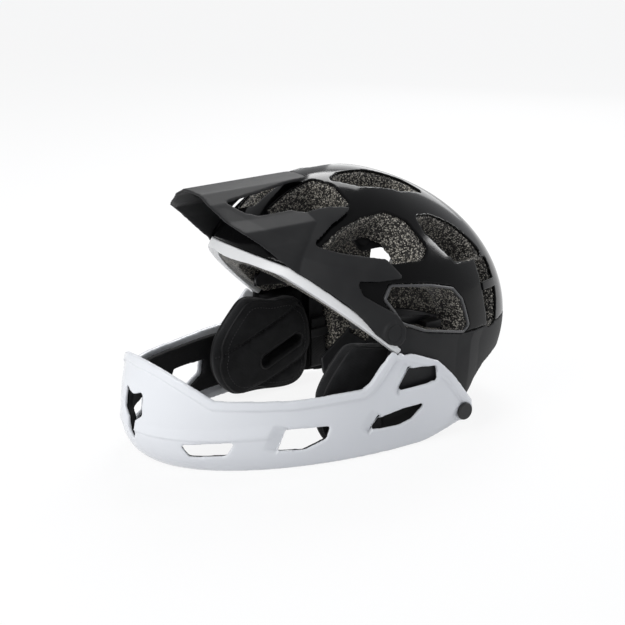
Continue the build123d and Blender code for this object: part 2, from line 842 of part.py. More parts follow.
def strip(outer, low, high):
    """A straight run of webbing in the edge profile."""
    return Location((outer - strap_thickness / 2, (low + high) / 2)) * Rectangle(strap_thickness, high - low)


def strap_left():
    """The short strap, which ends in a sewn loop for the rings."""
    loop_z = strap_spot(strap_loop_share)[1]
    outer = loop_bore + strap_thickness
    loop = Location((strap_line() - outer, loop_z)) * (Circle(outer) - Circle(loop_bore))
    return web(strip(strap_line(), loop_z, strap_spot(strap_top_share)[1]) + loop)


def strap_right():
    """The long strap, folded back on itself and held by the keeper."""
    fold_z = strap_spot(strap_fold_share)[1]
    outer = fold_bore + strap_thickness
    fold = Location((strap_line() - outer, fold_z)) * (Circle(outer) - Circle(fold_bore))
    fold -= Location((strap_line() - outer, fold_z + outer)) * Rectangle(4 * outer, 2 * outer)
    profile = fold + strip(strap_line(), fold_z, strap_spot(strap_top_share)[1])
    profile += strip(strap_line() - 2 * fold_bore - strap_thickness, fold_z, strap_spot(strap_end_share)[1])
    return mirror(web(profile), Plane.YZ)


def strap_keeper():
    """The rubber loop round both runs of the long strap."""
    y, z = strap_spot(keeper_share)
    deep = 2 * (fold_bore + strap_thickness + keeper_play)
    x = strap_line() - fold_bore - strap_thickness
    hole = Box(deep, strap_width + 2 * keeper_play, keeper_height)
    ring = Box(deep + 2 * keeper_wall, strap_width + 2 * keeper_play + 2 * keeper_wall, keeper_height)
    return Location((-x, y, z)) * (ring - hole)


def d_rings():
    """Two wire rings that share the left strap's loop and hang from it."""
    y, z = strap_spot(strap_loop_share)
    x = strap_line() - loop_bore - strap_thickness
    half = ring_width / 2
    rings = []
    for side in (-ring_offset, ring_offset):
        corners = ((y - half, z), (y + half, z), (y + half, z - ring_drop), (y - half, z - ring_drop))
        plane = Plane(origin=(x + side, 0, 0), x_dir=(0, 1, 0), z_dir=(1, 0, 0))
        path = plane * FilletPolyline(*corners, radius=2 * ring_wire, close=True)
        start = path.edges().sort_by(Axis.Z)[-1]
        section = Plane(origin=start @ 0.5, z_dir=start % 0.5) * Circle(ring_wire)
        rings.append(sweep(section, path=path))
    return rings


def cheek_pad():
    """The left cheek pad: a crowned cushion with drawn-in sides, a strap slot and two sewn channels."""
    mid_y, mid_z = shell_spot(*pad_middle_share)
    outline = [shell_spot(*share) for share in pad_shares]
    layers = []
    for depth, wide in pad_layer_shares:
        points = [(mid_y + wide * (y - mid_y), mid_z + wide * (z - mid_z)) for y, z in outline]
        face = make_face(Spline(*points, periodic=True))
        x = pad_inner + pad_thickness - pad_thickness * depth
        layers.append(Plane(origin=(x, 0, 0), x_dir=(0, 1, 0), z_dir=(1, 0, 0)) * face)
    pad = loft(layers)
    y, z = shell_spot(*pad_slot_share)
    through = Plane(origin=(pad_inner - overrun, y, z), x_dir=(0, 1, 0), z_dir=(1, 0, 0)).location
    through *= Rot(0, 0, pad_slot_turn)
    pad -= through * extrude(SlotOverall(pad_slot_length, pad_slot_width), amount=2 * overrun, dir=(0, 0, 1))
    depth = overrun - pad_thickness * pad_groove_share
    for share in pad_channel_shares:
        groove = Location((0, pad_slot_length * share, depth), (0, 90, 0)) * Cylinder(pad_groove, 4 * overrun)
        pad -= through * groove
    return pad


def cheek_core():
    """The firm foam between the shell and the left cheek pad."""
    outline = [shell_spot(*share) for share in core_shares]
    core = shell_form(-shell_wall - liner_gap) & side_prism(outline)
    inner = pad_inner + pad_thickness + core_gap
    return core & block(Vector(inner, -sky, -sky), Vector(sky, sky, sky))


def comfort_layer():
    """The layer that the comfort pads fill inside the head space."""
    outer = fixing_thickness + 2 * fixing_gap
    return head_form(-outer) - head_form(-outer - comfort_thickness)


def brow_pad():
    outline = [shell_spot(*share) for share in brow_pad_shares]
    return comfort_layer() & side_prism(outline, comfort_thickness)


def crown_pads():
    """Three strips along the liner's ribs."""
    layer = comfort_layer()
    pads = []
    for middle, front, rear, half in crown_strip_shares:
        low = shell_spot(front, 0)[0]
        high = shell_spot(rear, 0)[0]
        strip_face = SlotOverall(high - low, 2 * half * shell_half_width)
        place = Location((middle * shell_half_width, (low + high) / 2, shell_centre_height), (0, 0, 90))
        pads.append(layer & (place * extrude(strip_face, amount=sky, dir=(0, 0, 1))))
    return pads


def pad_fixings():
    """Hook discs between the liner and each comfort pad."""
    layer = head_form(-fixing_gap) - head_form(-fixing_gap - fixing_thickness)
    discs = []
    for middle, front, rear, half in crown_strip_shares:
        for place_share in fixing_along_shares:
            y = shell_spot(front + (rear - front) * place_share, 0)[0]
            spot = Location((middle * shell_half_width, y, shell_centre_height))
            discs.append(layer & (spot * extrude(Circle(fixing_radius), amount=sky)))
    for side in (-fixing_spot_shares[0], fixing_spot_shares[0]):
        z = shell_spot(0, fixing_spot_shares[1])[1]
        plane = Plane(origin=(side * shell_half_width, centre_y, z), x_dir=(1, 0, 0), z_dir=(0, -1, 0))
        discs.append(layer & (plane * extrude(Circle(fixing_radius), amount=sky)))
    return discs


def cradle_gap():
    """The cradle lies inside the belts."""
    return belt_gap + belt_wall + belt_play


def belts():
    """The left and right belts, thin bands along the liner from the cradle to the anchors."""
    outline = [shell_spot(*share) for share in belt_shares]
    band = (head_form(-belt_gap) - head_form(-belt_gap - belt_wall)) & side_prism(outline)
    y, z = shell_spot(*belt_anchor_shares)
    hole = anchor_stem + belt_play
    return [piece - rod(hole, -sky, sky, y, z) for piece in band.solids().sort_by(Axis.X)]


def belt_anchors():
    """A capped stem that pins each belt to the liner."""
    y, z = shell_spot(*belt_anchor_shares)
    outer = belt_gap + belt_wall + belt_play / 2
    cap = rod(anchor_head, 0, sky, y, z) & (head_form(-outer) - head_form(-outer - anchor_wall))
    stem = rod(anchor_stem, belt_seat() - outer - anchor_wall / 2, belt_seat() + anchor_depth, y, z)
    return both_sides(cap + stem)


def nape_cradle():
    """The cradle under the back of the head, a thin curved band with slots."""
    outline = [shell_spot(*share) for share in cradle_shares]
    band = head_form(-cradle_gap()) - head_form(-cradle_gap() - cradle_wall)
    band &= side_prism(outline, cradle_wall)
    for along, up, length, height, turn in cradle_slot_shares:
        y, z = shell_spot(along, up)
        slot = SlotOverall(length * shell_rear, height * shell_centre_height)
        plane = Plane(origin=(-sky, y, z), x_dir=(0, 1, 0), z_dir=(1, 0, 0))
        band -= plane * (Rot(0, 0, turn) * extrude(slot, amount=2 * sky, dir=(0, 0, 1)))
    return band


def nape_pads():
    """Two cushions on the cradle's inner face."""
    outer = cradle_gap() + cradle_wall + fixing_gap
    layer = head_form(-outer) - head_form(-outer - comfort_thickness)
    near, far, low, high = nape_pad_shares
    bottom = shell_spot(0, low)[1]
    top = shell_spot(0, high)[1]
    bar = block(
        Vector(near * shell_half_width, centre_y, bottom),
        Vector(far * shell_half_width, centre_y + shell_rear, top),
    )
    bar = fillet(bar.edges().filter_by(Axis.Y), comfort_thickness)
    return [layer & solid for solid in both_sides(bar)]


def head_rear(z, grow=0.0):
    """Where the head space ends at the back, on the middle plane at a height."""
    up = z - shell_centre_height
    length = shell_rear - liner_rear - shell_wall + grow
    height = shell_skirt - liner_skirt - shell_wall + grow
    a = (cos(tilt_angle) / length) ** 2 + (sin(tilt_angle) / height) ** 2
    b = 2 * up * sin(tilt_angle) * cos(tilt_angle) * (1 / height**2 - 1 / length**2)
    c = (sin(tilt_angle) * up / length) ** 2 + (cos(tilt_angle) * up / height) ** 2 - 1
    return centre_y + (sqrt(b * b - 4 * a * c) - b) / (2 * a)


def dial_back():
    """The dial housing's rear face, and the dial's height."""
    z = shell_spot(0, dial_up_share)[1]
    return head_rear(z, -cradle_gap()) + housing_depth, z


def rearward_rod(radius, start, stop):
    """A cylinder along the dial's axis between two places behind the helmet's middle."""
    z = dial_back()[1]
    plane = Plane(origin=(0, start, z), x_dir=(1, 0, 0), z_dir=(0, 1, 0))
    return plane * extrude(Circle(radius), amount=stop - start)


def dial_housing():
    """The case behind the cradle that holds the pinion."""
    back, z = dial_back()
    case = block(
        Vector(-housing_width / 2, back - 2 * housing_depth, z - housing_height / 2),
        Vector(housing_width / 2, back, z + housing_height / 2),
    )
    case = fillet(case.edges().filter_by(Axis.Y), housing_round)
    case -= head_form(-cradle_gap() + fixing_gap)
    room = pinion_radius + 3 * fixing_gap
    case -= rearward_rod(room, back - housing_wall - pinion_length - 2 * fixing_gap, back - housing_wall)
    case -= rearward_rod(dial_shaft + pivot_play, back - housing_wall - pinion_length, back + overrun)
    return case


def dial_knob():
    """The fluted knob and its shaft."""
    back = dial_back()[0]
    z = dial_back()[1]
    start = back + strap_gap
    knob = rearward_rod(dial_radius, start, start + dial_thickness)
    knob = fillet(knob.edges().filter_by(GeomType.CIRCLE).sort_by(Axis.Y)[-1], flute_radius)
    for turn in range(dial_flutes):
        angle = 2 * pi * turn / dial_flutes
        spot = (dial_radius * cos(angle), start - flute_radius, z + dial_radius * sin(angle))
        flute = Plane(origin=spot, x_dir=(1, 0, 0), z_dir=(0, 1, 0))
        knob -= flute * extrude(Circle(flute_radius), amount=2 * dial_thickness)
    return knob + rearward_rod(dial_shaft, back - housing_wall - pinion_length, start + flute_radius)


def dial_pinion():
    """The small gear on the knob's shaft inside the housing."""
    back, z = dial_back()
    gear = Circle(pinion_radius - pinion_tooth)
    for turn in range(pinion_teeth):
        tooth = Rectangle(2 * pinion_tooth, pinion_tooth, align=(Align.MAX, Align.CENTER))
        gear += Rot(0, 0, 360 / pinion_teeth * turn) * Location((pinion_radius, 0)) * tooth
    gear -= Circle(dial_shaft)
    start = back - housing_wall - pinion_length - fixing_gap
    plane = Plane(origin=(0, start, z), x_dir=(1, 0, 0), z_dir=(0, 1, 0))
    return plane * extrude(gear, amount=pinion_length, dir=(0, 0, 1))


if __name__ == "__main__":
    os.makedirs("parts", exist_ok=True)
    upper, lower = outer_shells()
    write("upper_shell", upper)
    write("lower_shell", lower)
    write("main_liner", main_liner())
    write("face_trim", face_trim())
    write("vent_rims", vent_rims())
    write("nape_bridges", nape_bridges())
    write("chin_guard", chin_guard())
    write("guard_lining", guard_lining())
    write("guard_screws", guard_screws())
    write("guard_nuts", guard_nuts())
    write("visor", visor())
    write("visor_screws", visor_screws())
    write("visor_washers", visor_washers())
    write("visor_nuts", visor_nuts())
    for name, solid in (("cheek_pad", cheek_pad()), ("cheek_core", cheek_core())):
        for side, piece in zip(("left", "right"), both_sides(solid)):
            write(f"{name}_{side}", piece)
    write("brow_pad", brow_pad())
    write("crown_pads", crown_pads())
    write("pad_fixings", pad_fixings())
    right_belt, left_belt = belts()
    write("belt_left", left_belt)
    write("belt_right", right_belt)
    write("belt_anchors", belt_anchors())
    write("nape_cradle", nape_cradle())
    write("nape_pads", nape_pads())
    write("dial_housing", dial_housing())
    write("dial_knob", dial_knob())
    write("dial_pinion", dial_pinion())
    write("strap_anchors", strap_anchors())
    write("strap_left", strap_left())
    write("strap_right", strap_right())
    write("strap_keeper", strap_keeper())
    write("d_rings", d_rings())
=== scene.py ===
import bmesh
import bpy
import numpy as np
from math import cos, pi, radians, sin
from mathutils import Matrix, Vector
from mathutils.bvhtree import BVHTree


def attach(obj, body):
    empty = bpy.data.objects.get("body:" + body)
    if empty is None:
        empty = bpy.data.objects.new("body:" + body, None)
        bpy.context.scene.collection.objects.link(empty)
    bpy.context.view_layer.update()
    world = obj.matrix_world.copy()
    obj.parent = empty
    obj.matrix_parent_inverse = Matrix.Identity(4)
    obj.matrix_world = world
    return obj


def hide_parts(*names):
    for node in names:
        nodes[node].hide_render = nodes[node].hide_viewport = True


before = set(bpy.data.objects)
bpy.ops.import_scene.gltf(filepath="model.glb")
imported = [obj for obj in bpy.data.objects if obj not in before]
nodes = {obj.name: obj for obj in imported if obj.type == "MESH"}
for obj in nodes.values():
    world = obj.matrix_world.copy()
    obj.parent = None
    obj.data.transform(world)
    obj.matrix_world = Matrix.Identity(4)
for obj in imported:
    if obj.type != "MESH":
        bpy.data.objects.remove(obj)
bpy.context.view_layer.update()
mm = 0.001


# The studio: a long lens to the front left and a little above, looking at the helmet's middle.
# A white sweep lies under it, with soft boxes above, in front and behind.
view_turn, view_lift = radians(54.5), radians(18)
lens_length, sensor = 110.6, 36.0
camera_distance = 1.6
helmet_middle = Vector((0, -9, 105)) * mm
aim_right, aim_drop = 3.35 * mm, 10.3 * mm

right = Vector((cos(view_turn), sin(view_turn), 0))
back = Vector((sin(view_turn) * cos(view_lift), -cos(view_turn) * cos(view_lift), sin(view_lift)))
above = back.cross(right)
aim = helmet_middle + right * aim_right - above * aim_drop
camera = bpy.data.objects.new("camera", bpy.data.cameras.new("camera"))
camera.data.lens, camera.data.sensor_width = lens_length, sensor
facing = Matrix((right, above, back)).transposed().to_4x4()
camera.matrix_world = Matrix.Translation(aim + back * camera_distance) @ facing
bpy.context.scene.collection.objects.link(camera)
bpy.context.scene.camera = camera
bpy.context.scene.view_settings.view_transform = "Standard"


def add_node(tree, kind, settings=(), sockets=()):
    """A node in a tree: its settings are made first, then each socket's value or link."""
    node = tree.nodes.new(kind)
    for key, value in dict(settings).items():
        setattr(node, key, value)
    for key, value in dict(sockets).items():
        if isinstance(value, Wire):
            value = value.socket
        if isinstance(value, bpy.types.NodeSocket):
            tree.links.new(value, node.inputs[key])
        else:
            node.inputs[key].default_value = value
    return node


class Wire:
    """A shader value that sums and products can be written with."""

    def __init__(self, tree, socket):
        self.tree, self.socket = tree, socket

    def maths(self, operation, *others):
        terms = dict(enumerate((self,) + others))
        node = add_node(self.tree, "ShaderNodeMath", {"operation": operation}, terms)
        return Wire(self.tree, node.outputs[0])

    def __add__(self, other):
        return self.maths("ADD", other)

    def __mul__(self, other):
        return self.maths("MULTIPLY", other)

    def __rsub__(self, other):
        return (self * -1) + other

    __radd__, __rmul__ = __add__, __mul__

    def between(self, low, high):
        """0 becomes low and 1 becomes high."""
        return self * (high - low) + low

    def ramp(self, low, high):
        """0 below low, 1 above high, smooth between."""
        settings = {"interpolation_type": "SMOOTHSTEP"}
        sockets = {"Value": self, "From Min": low, "From Max": high}
        return Wire(self.tree, add_node(self.tree, "ShaderNodeMapRange", settings, sockets).outputs[0])


class Finish:
    """One material, with constants set on the shader's own sockets."""

    def __init__(self, name, **constants):
        self.material = bpy.data.materials.new(name)
        self.material.use_nodes = True
        self.tree = self.material.node_tree
        self.shader = self.tree.nodes["Principled BSDF"]
        for socket, value in constants.items():
            self.shader.inputs[socket.replace("_", " ")].default_value = value

    def node(self, kind, settings=(), sockets=(), out=0):
        return Wire(self.tree, add_node(self.tree, kind, settings, sockets).outputs[out])

    def place(self, stretch=(1, 1, 1)):
        """Object coordinates in millimetres, drawn together by stretch along each axis."""
        spot = self.node("ShaderNodeTexCoord", out="Object")
        size = tuple(value / mm for value in stretch)
        return self.node("ShaderNodeMapping", (), {"Vector": spot, "Scale": size})

    def noise(self, where, scale, detail=2.0, roughness=0.5):
        sockets = {"Vector": where, "Scale": scale, "Detail": detail, "Roughness": roughness}
        return self.node("ShaderNodeTexNoise", (), sockets)

    def cells(self, where, scale, out="Distance"):
        """Grains that lie close together, each with its own colour."""
        sockets = {"Vector": where, "Scale": scale}
        return self.node("ShaderNodeTexVoronoi", {"feature": "F1"}, sockets, out=out)

    def ribs(self, where, scale, direction, distortion=0.0):
        """Even ribs across one direction, from 0 to 1."""
        settings = {"wave_type": "BANDS", "bands_direction": direction, "wave_profile": "SIN"}
        sockets = {"Vector": where, "Scale": scale, "Distortion": distortion}
        return self.node("ShaderNodeTexWave", settings, sockets, out="Fac")

    def colours(self, share, dark, light):
        """A mix of two colours, which go into sockets 6 and 7. The result is output 2."""
        sockets = {"Factor": share, 6: (*dark, 1), 7: (*light, 1)}
        return self.node("ShaderNodeMix", {"data_type": "RGBA"}, sockets, out=2)

    def wire(self, socket, value):
        """Leads a value into one of the shader's sockets."""
        self.tree.links.new(value.socket, self.shader.inputs[socket])

    def relief(self, height, depth):
        """Bump of that depth in metres."""
        sockets = {"Height": height, "Distance": depth, "Strength": 1.0}
        self.wire("Normal", self.node("ShaderNodeBump", (), sockets))


# The floor lies a little below the helmet, so that none of its faces meet the sweep
floor_size = 6.0
floor_drop = 0.4 * mm
bpy.ops.mesh.primitive_plane_add(size=floor_size, location=(0, 0, -floor_drop))
floor = bpy.context.object
floor.name = "floor"
sweep = Finish("white sweep", Base_Color=(0.86, 0.86, 0.87, 1), Roughness=0.9, Specular_IOR_Level=0.1)
ray_kinds = ("Is Camera Ray", "Is Glossy Ray", "Is Transmission Ray")
rays = [sweep.node("ShaderNodeLightPath", out=name) for name in ray_kinds]
glow = sweep.node("ShaderNodeEmission", (), {"Color": (1, 1, 1, 1), "Strength": 1.0})
seen = rays[0].maths("MAXIMUM", rays[1]).maths("MAXIMUM", rays[2])
paper = Wire(sweep.tree, sweep.shader.outputs[0])
# How much of the floor's real shading the camera sees, which is what carries the object's shadow
shadow_share = 0.12
blended = sweep.node("ShaderNodeMixShader", (), {0: seen * (1 - shadow_share), 1: paper, 2: glow})
sweep.tree.links.new(blended.socket, sweep.tree.nodes["Material Output"].inputs["Surface"])
floor.data.materials.append(sweep.material)

# Dim air lights the object. The camera, and in part the glossy surfaces, see it as white.
air_colour, air_strength = (0.88, 0.92, 1.0, 1), 0.42
glossy_share = 0.5
world = bpy.data.worlds.new("studio air")
bpy.context.scene.world = world
world.use_nodes = True
air = world.node_tree
dim = air.nodes["Background"]
dim.inputs["Color"].default_value, dim.inputs["Strength"].default_value = air_colour, air_strength
bright = add_node(air, "ShaderNodeBackground", (), {"Color": (1, 1, 1, 1)})
ray_path = add_node(air, "ShaderNodeLightPath").outputs
glossy = Wire(air, ray_path["Is Glossy Ray"]) * glossy_share
by_camera = Wire(air, ray_path["Is Camera Ray"]).maths("MAXIMUM", glossy)
seen_white = by_camera.maths("MAXIMUM", Wire(air, ray_path["Is Transmission Ray"]))
pick = add_node(air, "ShaderNodeMixShader", (), {0: seen_white, 1: dim.outputs[0], 2: bright.outputs[0]})
air.links.new(pick.outputs[0], air.nodes["World Output"].inputs["Surface"])

# Name, place from the aim (right, away, up), size and power
soft_boxes = (
    ("key box", (-0.75, -0.85, 0.75), 0.5, 10.0),
    ("top box", (0.1, 0.75, 0.8), 0.5, 9.0),
    ("rear box", (1.1, 0.45, 0.45), 0.22, 4.0),
    ("crest box", (0.3, 1.3, 0.35), 0.6, 1.8),
)
away = Vector((-back.x, -back.y, 0)).normalized()
for name, (across, behind, high), size, power in soft_boxes:
    lamp = bpy.data.lights.new(name, "AREA")
    lamp.size, lamp.energy = size, power
    box = bpy.data.objects.new(name, lamp)
    box.location = aim + right * across + away * behind + Vector((0, 0, high))
    box.rotation_euler = (aim - box.location).to_track_quat("-Z", "Y").to_euler()
    bpy.context.scene.collection.objects.link(box)


# The outer shell: thin glossy black polycarbonate over the crown and matte dark grey below,
# vacuum formed in two parts and trimmed at the vents with a soft rolled edge.
# The shell's form is four quarter ellipsoids round one centre, tilted about the side to side axis
shell_centre = np.array((0, 18.19, 101.0)) * mm
shell_tilt = radians(18)
shell_half_width, shell_front, shell_rear = 105 * mm, 120 * mm, 168 * mm
shell_crown, shell_skirt = 114 * mm, 164 * mm
weld_gap, smoothing_pull = 0.005 * mm, 0.5
# How squarely a face looks outwards, as a cosine: not moved below the first and fully above the second
flush_facing, ridge_facing = (0.9, 0.98), (0.1, 0.35)
flush_reach = 0.7 * mm


def plain_mesh(obj, name):
    """A piece's evaluated mesh on a new object at the origin."""
    bpy.context.view_layer.update()
    shape = obj.evaluated_get(bpy.context.evaluated_depsgraph_get())
    made = bpy.data.objects.new(name, bpy.data.meshes.new_from_object(shape))
    bpy.context.scene.collection.objects.link(made)
    return made


def recast(node, name, voxel, smoothing=4, span=None):
    """A CAD node's form, or what of it lies in a span of x, as one even mesh with soft edges.

    voxel is the mesh's grain in millimetres, and smoothing is how many times it is evened.
    """
    draft = bpy.data.objects.new(name + "_draft", nodes[node].data.copy())
    bpy.context.scene.collection.objects.link(draft)
    if span:
        form = bmesh.new()
        form.from_mesh(draft.data)
        far = [vertex for vertex in form.verts if not span[0] < vertex.co.x < span[1]]
        bmesh.ops.delete(form, geom=far, context="VERTS")
        form.to_mesh(draft.data)
        form.free()
    weld = draft.modifiers.new("weld", "WELD")
    weld.merge_threshold = weld_gap
    even = draft.modifiers.new("even", "REMESH")
    even.mode, even.voxel_size, even.use_smooth_shade = "VOXEL", voxel * mm, True
    if smoothing:
        soft = draft.modifiers.new("soft", "SMOOTH")
        soft.factor, soft.iterations = smoothing_pull, smoothing
    made = plain_mesh(draft, name)
    bpy.data.objects.remove(draft)
    made.data.materials.clear()
    made.data.shade_smooth()
    return made


def points_of(piece):
    """A piece's points and the directions in which its surface looks there."""
    spots = np.zeros(len(piece.data.vertices) * 3, np.float32)
    piece.data.vertices.foreach_get("co", spots)
    ways = np.zeros_like(spots)
    piece.data.vertex_normals.foreach_get("vector", ways)
    return spots.reshape(-1, 3).astype(float), ways.reshape(-1, 3).astype(float)


def move_points(piece, spots):
    """Puts a piece's points at new places."""
    piece.data.vertices.foreach_set("co", spots.astype(np.float32).ravel())
    piece.data.update()


def smooth_step(low, high, values):
    """0 below low, 1 above high, smooth between."""
    share = np.clip((values - low) / (high - low), 0, 1)
    return share * share * (3 - 2 * share)


def form_gap(spots, grow):
    """How far points lie outside the shell's form, grown by that much, and its outward way there."""
    turned = spots - shell_centre
    along = cos(shell_tilt) * turned[:, 1] - sin(shell_tilt) * turned[:, 2]
    up = sin(shell_tilt) * turned[:, 1] + cos(shell_tilt) * turned[:, 2]
    wide = shell_half_width + grow
    length = np.where(along < 0, shell_front, shell_rear) + grow
    height = np.where(up > 0, shell_crown, shell_skirt) + grow
    share = np.sqrt((turned[:, 0] / wide) ** 2 + (along / length) ** 2 + (up / height) ** 2)
    slope = np.stack((turned[:, 0] / wide**2, along / length**2, up / height**2), 1) / share[:, None]
    steep = np.linalg.norm(slope, axis=1)
    slope /= steep[:, None]
    outward = np.stack((
        slope[:, 0],
        cos(shell_tilt) * slope[:, 1] + sin(shell_tilt) * slope[:, 2],
        cos(shell_tilt) * slope[:, 2] - sin(shell_tilt) * slope[:, 1],
    ), 1)
    return (share - 1) / steep, outward


def settle(piece, grow):
    """Lays the faces that lie on the shell's form exactly on it, so that they reflect evenly."""
    spots, ways = points_of(piece)
    gap, outward = form_gap(spots, grow)
    facing = smooth_step(*flush_facing, (ways * outward).sum(1)) * (np.abs(gap) < flush_reach)
    move_points(piece, spots - outward * (gap * facing)[:, None])


def side_distance(spots, line):
    """The distance in the side view from points to a line of places in millimetres."""
    place = spots[:, 1:]
    best = np.full(len(spots), np.inf)
    for start, end in zip(line[:-1], line[1:]):
        start, end = np.array(start) * mm, np.array(end) * mm
        run = end - start
        share = np.clip(((place - start) @ run) / (run @ run), 0, 1)
        best = np.minimum(best, np.linalg.norm(place - start - share[:, None] * run, axis=1))
    return best


def ridge(piece, line, height, reach):
    """Raises a soft crease along a line on both sides of a piece's outer face."""
    spots, ways = points_of(piece)
    outward = form_gap(spots, 0)[1]
    facing = smooth_step(*ridge_facing, (ways * outward).sum(1))
    lift = np.clip(1 - side_distance(spots, line) / reach, 0, 1) * height
    move_points(piece, spots + outward * (lift * facing)[:, None])


def paint(piece, finish):
    """Gives a piece one material."""
    piece.data.materials.clear()
    piece.data.materials.append(finish.material)


def dress(piece, finish, body, replaced=()):
    """Gives a finished piece its material and body, and hides the CAD nodes that it replaces."""
    paint(piece, finish)
    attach(piece, body)
    if replaced:
        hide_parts(*replaced)
    return piece


gloss_black = Finish("gloss black shell", Base_Color=(0.003, 0.003, 0.0032, 1), Specular_IOR_Level=0.09)
where = gloss_black.place()
haze = gloss_black.noise(where, scale=0.05, detail=3)
gloss_black.wire("Roughness", haze.ramp(0.3, 0.8).between(0.1, 0.16))
gloss_black.relief(gloss_black.noise(where, scale=0.25, detail=1), 0.012 * mm)

matte_grey = Finish("matte dark grey", Specular_IOR_Level=0.1)
where = matte_grey.place()
patches = matte_grey.noise(where, scale=0.03, detail=2)
matte_tones = matte_grey.colours(patches.ramp(0.3, 0.7), (0.021, 0.021, 0.0215), (0.028, 0.028, 0.028))
matte_grey.wire("Base Color", matte_tones)
matte_grey.wire("Roughness", patches.between(0.5, 0.6))
matte_grey.relief(matte_grey.noise(where, scale=2.6, detail=2), 0.03 * mm)

upper_shell = recast("upper_shell", "upper_shell_skin", voxel=1.3, smoothing=2)
settle(upper_shell, grow=0)
dress(upper_shell, gloss_black, "helmet", ["upper_shell"])

# A line in the side view, in millimetres, as the other creases are
skirt_crease = ((92, 86), (87, 78), (87, 66), (90, 44), (94, 22))
lower_shell = recast("lower_shell", "lower_shell_skin", voxel=1.1, smoothing=2)
settle(lower_shell, grow=0)
ridge(lower_shell, skirt_crease, height=1.8 * mm, reach=16 * mm)
dress(lower_shell, matte_grey, "helmet", ["lower_shell"])


# The visor: injection moulded nylon in matte dark grey, with a spine back to the crown, a lobe on
# each side and an arm down to each pivot. A soft crease runs along each side above the arm.
visor_stand = 4.4 * mm
visor_crease = ((-112, 194), (-103, 187.5), (-91, 178.5), (-65, 167.5), (-46, 160), (-20, 154), (12, 145))
visor = recast("visor", "visor_peak", voxel=0.9)
settle(visor, visor_stand)
ridge(visor, visor_crease, height=1.6 * mm, reach=12 * mm)
dress(visor, matte_grey, "visor", ["visor"])


# The foam liner: expanded beads fused in a mould, dark with pale flecks on some beads. The flecks are painted
# only on each bead's crown and fade out towards its rim, so they are partly bead colour and partly a painted
# highlight. Its throats taper in from the shell's vents, and the shell is moulded over it.
foam = Finish("moulded bead foam", Specular_IOR_Level=0.3)
where = foam.place()
bead_scale = 0.8
beads = foam.cells(where, scale=bead_scale)
tone = foam.node("ShaderNodeSeparateColor", (), {"Color": foam.cells(where, scale=bead_scale, out="Color")})
grain = foam.noise(where, scale=0.9, detail=4, roughness=0.7)
# Partly a painted highlight: pale on beads picked at random, but only on each bead's raised crown, fading to
# dark at its rim.
fleck_and_crown_highlight = tone.ramp(0.22, 0.8) * grain.ramp(0.36, 0.56) * (1 - beads.ramp(0.38, 0.7))
foam.wire("Base Color", foam.colours(fleck_and_crown_highlight, (0.012, 0.011, 0.01), (0.62, 0.58, 0.5)))
foam.wire("Roughness", tone.between(0.45, 0.7))
foam.relief(1 - beads.ramp(0.0, 0.9), 0.4 * mm)
liner = recast("main_liner", "liner_foam", voxel=1.7, smoothing=3)
dress(liner, foam, "helmet", ["main_liner"])


# The chin guard: a glossy white moulding with a raised lip along its top edge, a crease round the
# chin and long sloping flanks ahead of its windows. A screw on each side fixes it to the shell.
gloss_white = Finish("gloss white guard", Base_Color=(0.76, 0.77, 0.785, 1), Specular_IOR_Level=0.4)
where = gloss_white.place()
sheen = gloss_white.noise(where, scale=0.04, detail=2)
gloss_white.wire("Roughness", sheen.ramp(0.3, 0.7).between(0.16, 0.24))
gloss_white.relief(gloss_white.noise(where, scale=0.3, detail=1), 0.01 * mm)
guard_top_line = (
    (-184, 88), (-171, 88), (-142, 63), (-87, 60), (-29, 61), (-22, 66), (-2, 88),
    (4, 88), (22, 81), (45, 71), (62, 55), (80, 34), (90, 24),
)
lip_height, lip_width, lip_fade = 1.5 * mm, 6.5 * mm, 1.3 * mm
chin_crease = ((-190, 29), (-150, 30.5), (-108, 33))
crease_height, crease_reach = 1.3 * mm, 9 * mm
# Below this level the crease keeps only this share of its height
crease_level, low_share = 30 * mm, 0.2
# Front edge of a window, how far its flank runs and how deep it is there
flanks = (
    ((-101, 18), (-94, 37), 10, 3.4),
    ((-23, 23), (-13, 36), 11, 3.4),
    ((4, 52), (17, 71), 9, 3.4),
)
# A flank fades out past each end, by shares of its length, and begins a little inside the window
flank_fade_in, flank_fade_out, flank_overlap = (-0.12, 0.05), (0.95, 1.12), 1.5 * mm
# The wall's inner face gives way by this share of a flank's depth, so that the wall stays sound
inner_share = 0.45
outer_facing = (0.2, 0.6)
guard = recast("chin_guard", "chin_guard_white", voxel=1.1)


def outer_face(spots, ways):
    """1 on the guard's outer face and 0 on its inner one, and the level way out from the shell's middle."""
    outward = spots - shell_centre
    outward[:, 2] = 0
    outward /= np.linalg.norm(outward, axis=1)[:, None]
    return smooth_step(*outer_facing, (ways * outward).sum(1)), outward


spots, ways = points_of(guard)
shown, outward = outer_face(spots, ways)
lift = lip_height * (1 - smooth_step(lip_width, lip_width + lip_fade, side_distance(spots, guard_top_line)))
crease = np.clip(1 - side_distance(spots, chin_crease) / crease_reach, 0, 1) * crease_height
lift += np.where(spots[:, 2] < crease_level, crease * low_share, crease)
sunk = np.zeros(len(spots))
for start, end, reach, depth in flanks:
    start, end = np.array(start) * mm, np.array(end) * mm
    run = end - start
    length = np.linalg.norm(run)
    place = spots[:, 1:] - start
    share = (place @ run) / length**2
    ahead = -(place[:, 0] * run[1] - place[:, 1] * run[0]) / length
    inside = smooth_step(*flank_fade_in, share) * (1 - smooth_step(*flank_fade_out, share))
    slope = np.where(ahead > -flank_overlap, np.clip(1 - ahead / (reach * mm), 0, 1), 0)
    sunk += slope * inside * depth * mm
shift = lift * shown - sunk * (inner_share + (1 - inner_share) * shown)
move_points(guard, spots + outward * shift[:, None])
dress(guard, gloss_white, "helmet", ["chin_guard"])


